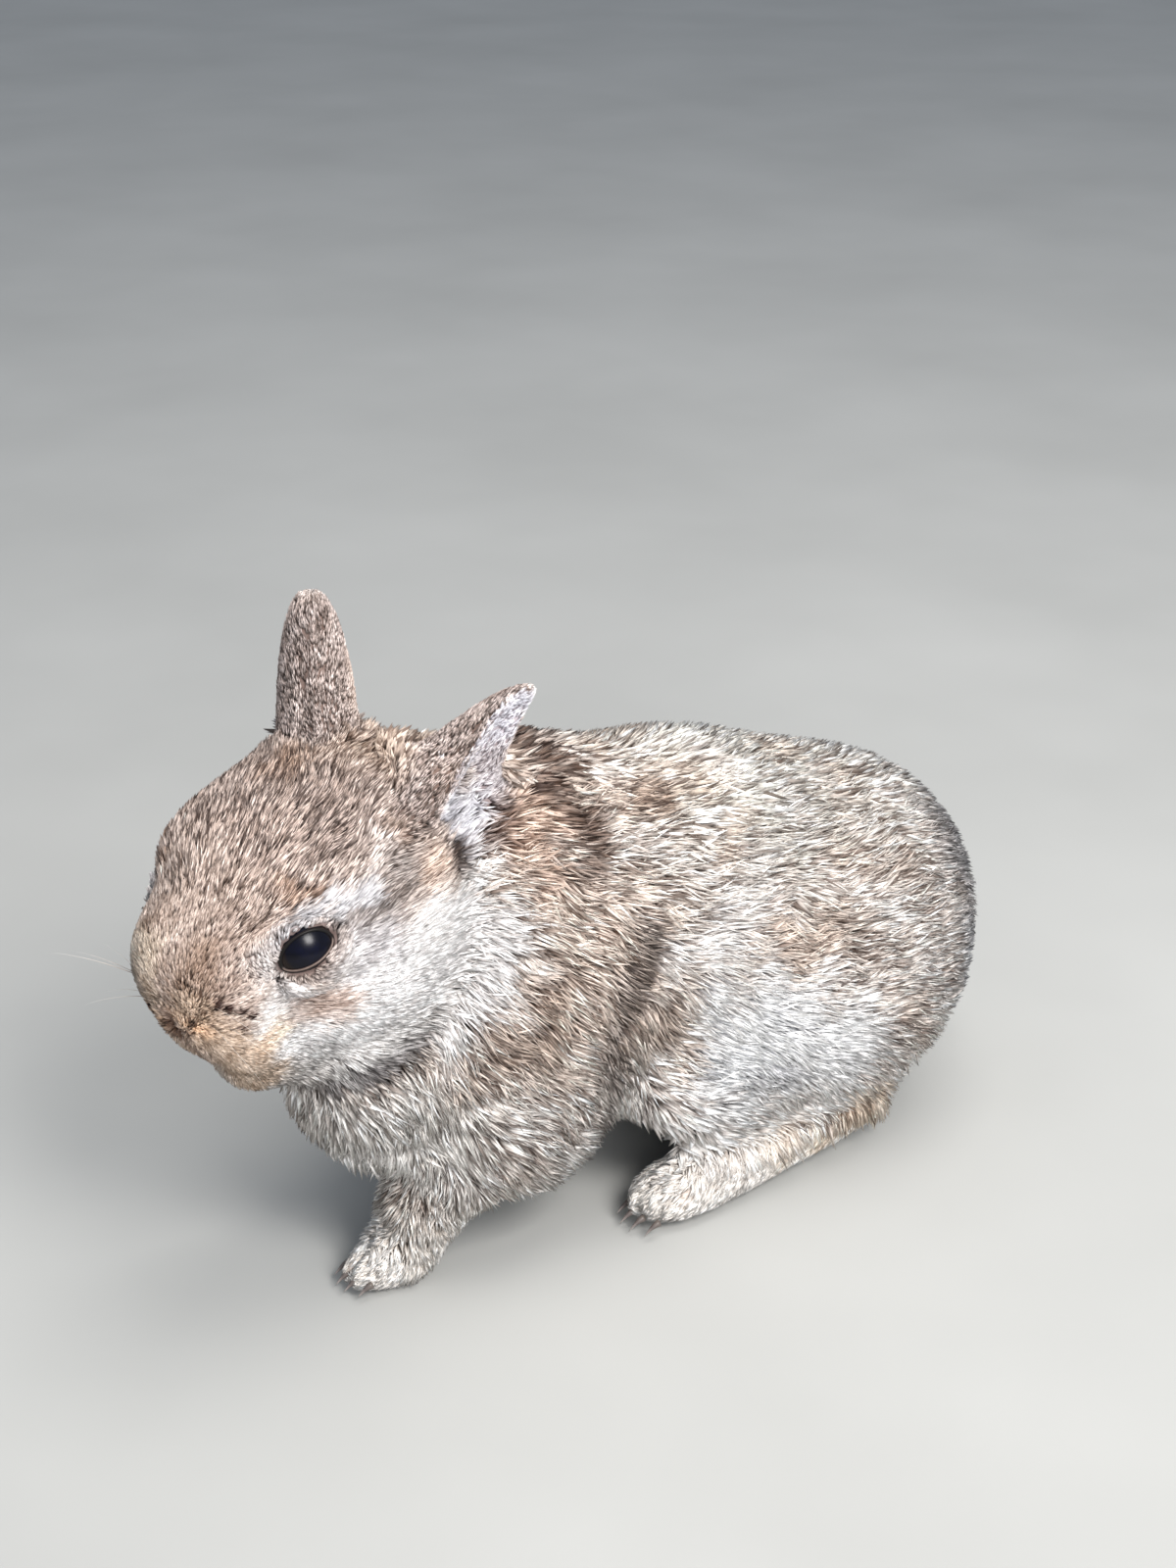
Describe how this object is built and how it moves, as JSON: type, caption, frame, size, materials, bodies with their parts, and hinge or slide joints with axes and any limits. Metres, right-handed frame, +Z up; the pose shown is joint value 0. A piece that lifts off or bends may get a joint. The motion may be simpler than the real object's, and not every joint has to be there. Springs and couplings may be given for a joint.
{
  "type": "young rabbit",
  "caption": "Young agouti rabbit standing alert, still and life-size, with upright cupped ears.",
  "frame": {"origin": "on the floor, under the middle of the animal's length and width", "axes": "the rabbit faces -X, its left side is -Y, +Z is up"},
  "size_m": [0.1964, 0.0764, 0.1298],
  "materials": {
    "head": "agouti fur",
    "neck": "agouti fur",
    "trunk": "agouti fur",
    "tail": "agouti fur",
    "ear_left": "short fur",
    "ear_right": "short fur",
    "eye_left": "wet dark eye",
    "eye_right": "wet dark eye",
    "fore_leg_left": "agouti fur",
    "fore_leg_right": "agouti fur",
    "fore_paw_left": "short pale fur",
    "fore_paw_right": "short pale fur",
    "hind_leg_left": "agouti fur",
    "hind_leg_right": "agouti fur",
    "hind_foot_left": "short pale fur",
    "hind_foot_right": "short pale fur"
  },
  "bodies": {
    "root": {"head": "head", "neck": "neck", "trunk": "trunk", "tail": "tail", "ear_left": "ear_left", "ear_right": "ear_right", "eye_left": "eye_left", "eye_right": "eye_right", "fore_leg_left": "fore_leg_left", "fore_leg_right": "fore_leg_right", "fore_paw_left": "fore_paw_left", "fore_paw_right": "fore_paw_right", "hind_leg_left": "hind_leg_left", "hind_leg_right": "hind_leg_right", "hind_foot_left": "hind_foot_left", "hind_foot_right": "hind_foot_right"}
  },
  "joints": []
}
